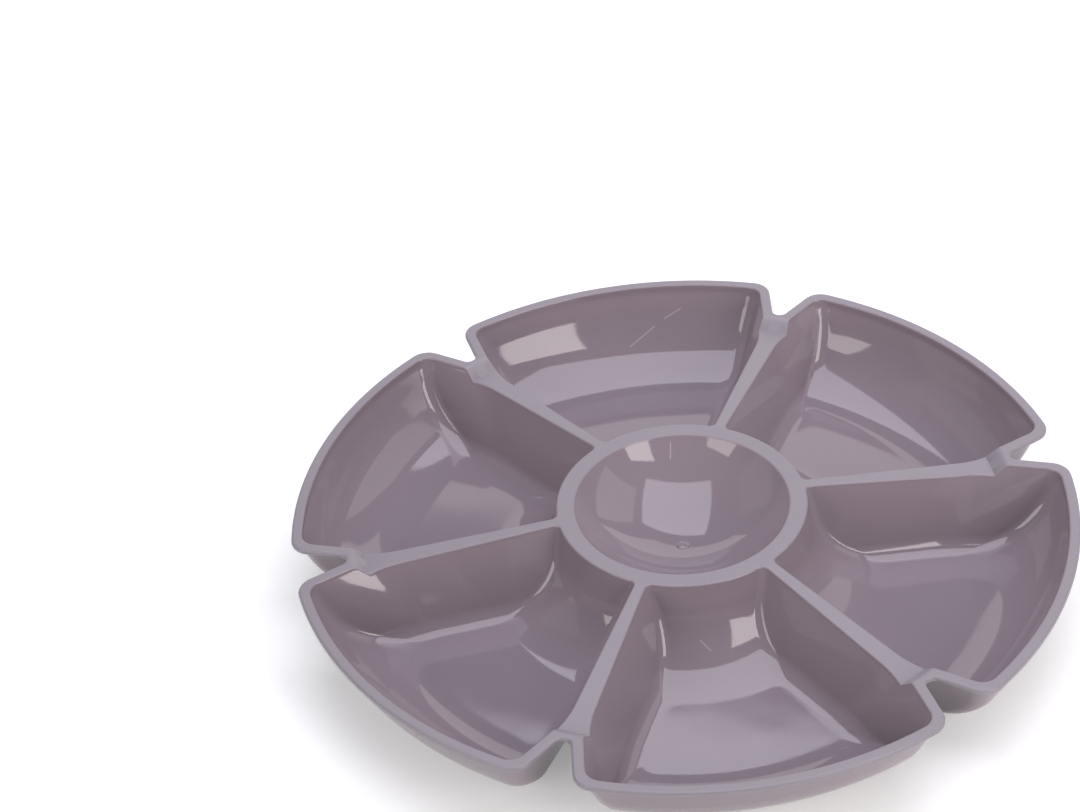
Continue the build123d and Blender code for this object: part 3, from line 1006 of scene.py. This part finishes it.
def reflector(name, corners, tint, radiance):
    """A flat panel of even glow that shows only in reflections and in what it lights."""
    mesh = bpy.data.meshes.new(name)
    mesh.from_pydata(corners, [], [range(len(corners))])
    glow = bpy.data.materials.new(name)
    glow.use_nodes = True
    tree = glow.node_tree
    tree.nodes.clear()
    shine = node(tree, "ShaderNodeEmission", Color=(*tint, 1), Strength=radiance)
    node(tree, "ShaderNodeOutputMaterial", Surface=shine.outputs[0])
    mesh.materials.append(glow)
    panel = bpy.data.objects.new(name, mesh)
    panel.visible_camera = False
    panel.visible_shadow = False
    bpy.context.scene.collection.objects.link(panel)


def paper_floor(studio):
    """White paper under the dish. Only the camera and reflections see its glow, and the shadow stays."""
    mesh = bpy.data.meshes.new("studio_floor")
    reach = PAPER_REACH
    corners = [(-reach, -reach, 0), (reach, -reach, 0), (reach, reach, 0), (-reach, reach, 0)]
    mesh.from_pydata(corners, [], [(0, 1, 2, 3)])
    floor = bpy.data.objects.new("studio_floor", mesh)
    floor.location.z = -PAPER_CLEARANCE
    bpy.context.scene.collection.objects.link(floor)
    paper = bpy.data.materials.new("White paper")
    paper.use_nodes = True
    tree = paper.node_tree
    shader = tree.nodes["Principled BSDF"]
    shader.inputs["Base Color"].default_value = PAPER_COLOUR
    shader.inputs["Roughness"].default_value = PAPER_ROUGHNESS
    rays = node(tree, "ShaderNodeLightPath").outputs
    seen = rays["Is Camera Ray"]
    for kind in ("Is Glossy Ray", "Is Transmission Ray"):
        seen = maths(tree, "MAXIMUM", seen, rays[kind])
    glow = node(tree, "ShaderNodeEmission", Color=seen, Strength=studio.paper)
    both = node(tree, "ShaderNodeAddShader", shader.outputs[0], glow.outputs[0])
    feed(tree, tree.nodes["Material Output"].inputs["Surface"], both.outputs[0])
    mesh.materials.append(paper)


class DISH_OT_studio(bpy.types.Operator):
    """Set up the pale floor, the lights and the camera"""

    bl_idname = "dish.studio"
    bl_label = "Studio"

    def execute(self, context):
        scene = context.scene
        studio = scene.dish_studio
        height = scene.dish_sizes.overall_height

        paper_floor(studio)
        world = bpy.data.worlds.new("Studio")
        world.use_nodes = True
        background = world.node_tree.nodes["Background"]
        background.inputs["Color"].default_value = ROOM_COLOUR
        background.inputs["Strength"].default_value = studio.room
        scene.world = world
        soft_box(*OVERHEAD_BOX, studio.overhead)
        soft_box(*RIGHT_BOX, studio.right)
        soft_box(*LEFT_BOX, studio.left)
        reflector(*BACKDROP, studio.backdrop)
        reflector(*RIGHT_PANEL, studio.panel)
        reflector(*LEFT_SCREEN, studio.screen)

        az, el, roll = studio.azimuth, studio.elevation, studio.roll
        forward = Vector((-math.sin(az) * math.cos(el), math.cos(az) * math.cos(el), -math.sin(el)))
        right = Vector((math.cos(az), math.sin(az), 0))
        up = right.cross(forward)
        side = right * math.cos(roll) + up * math.sin(roll)
        top = up * math.cos(roll) - right * math.sin(roll)
        target = Vector((0, 0, height))
        lens = bpy.data.cameras.new("camera")
        lens.sensor_width = SENSOR_WIDTH
        lens.sensor_fit = "HORIZONTAL"
        lens.lens = studio.focal
        lens.clip_start = NEAREST_SEEN
        camera = bpy.data.objects.new("camera", lens)
        scene.collection.objects.link(camera)
        spot = target - side * studio.side - top * studio.rise - forward * studio.distance
        camera.matrix_world = Matrix.Translation(spot) @ Matrix((side, top, -forward)).transposed().to_4x4()
        scene.camera = camera
        scene.view_settings.view_transform = "Standard"
        return {"FINISHED"}


class DISH_PT_panel(bpy.types.Panel):
    """The dish's operators and sizes"""

    bl_label = "Serving dish"
    bl_idname = "DISH_PT_panel"
    bl_space_type = "VIEW_3D"
    bl_region_type = "UI"
    bl_category = "Dish"

    def draw(self, context):
        for operator in OPERATORS:
            self.layout.operator(operator.bl_idname)
        for group in GROUPS:
            box = self.layout.box()
            values = getattr(context.scene, group)
            for name in values.__annotations__:
                box.prop(values, name)


GROUPS = {"dish_sizes": DishSizes, "dish_finish": DishFinish, "dish_studio": DishStudio}
OPERATORS = (
    DISH_OT_compartments,
    DISH_OT_rim,
    DISH_OT_dividers,
    DISH_OT_ring,
    DISH_OT_bowl,
    DISH_OT_studio,
)


def register():
    """Registers the classes and puts the groups of values on the scene."""
    for made in (*GROUPS.values(), *OPERATORS, DISH_PT_panel):
        bpy.utils.register_class(made)
    for name, group in GROUPS.items():
        setattr(bpy.types.Scene, name, PointerProperty(type=group))


def unregister():
    """Takes back what register made."""
    for name in GROUPS:
        delattr(bpy.types.Scene, name)
    for made in reversed((*GROUPS.values(), *OPERATORS, DISH_PT_panel)):
        bpy.utils.unregister_class(made)


def main():
    """Builds the whole scene."""
    register()
    bpy.ops.dish.compartments()
    bpy.ops.dish.rim()
    bpy.ops.dish.dividers()
    bpy.ops.dish.ring()
    bpy.ops.dish.bowl()
    bpy.ops.dish.studio()


if __name__ == "__main__":
    main()
